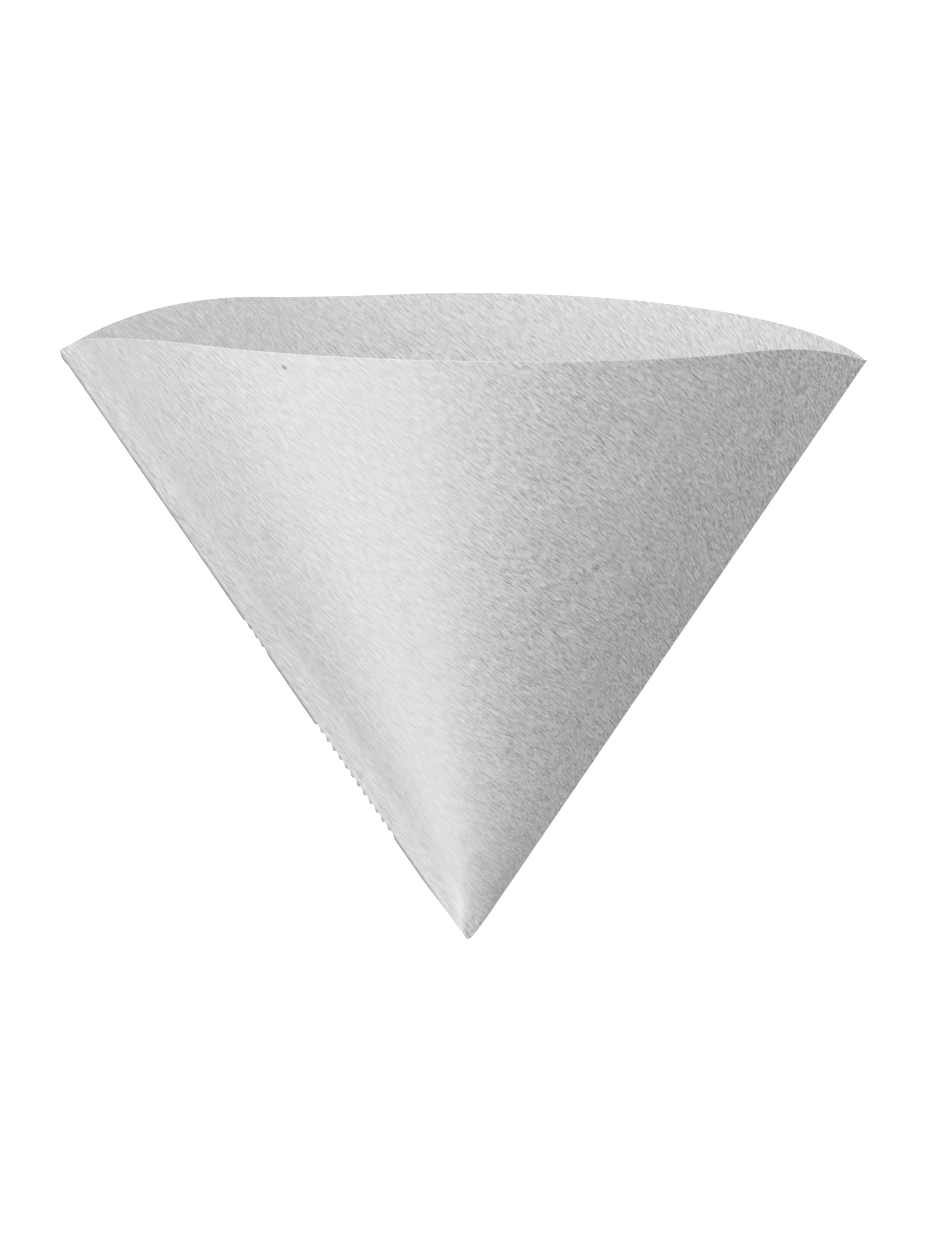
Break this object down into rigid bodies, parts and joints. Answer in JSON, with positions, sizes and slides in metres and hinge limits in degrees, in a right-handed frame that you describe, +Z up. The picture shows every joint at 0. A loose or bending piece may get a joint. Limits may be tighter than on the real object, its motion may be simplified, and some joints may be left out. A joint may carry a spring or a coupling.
{
  "type": "paper coffee filter",
  "caption": "Cone coffee filter of creped white paper, folded in half with one crimped side seam, its mouth open, lying on its side.",
  "frame": {"origin": "centre of the box's bottom, on the surface that the filter lies on", "axes": "+X from the crimped seam towards the fold, +Y from the tip towards the mouth along the surface, +Z up"},
  "size_m": [0.1322, 0.117, 0.0988],
  "materials": {
    "filter_paper": "matte"
  },
  "bodies": {
    "root": {"filter_paper": "filter_paper"}
  },
  "joints": []
}
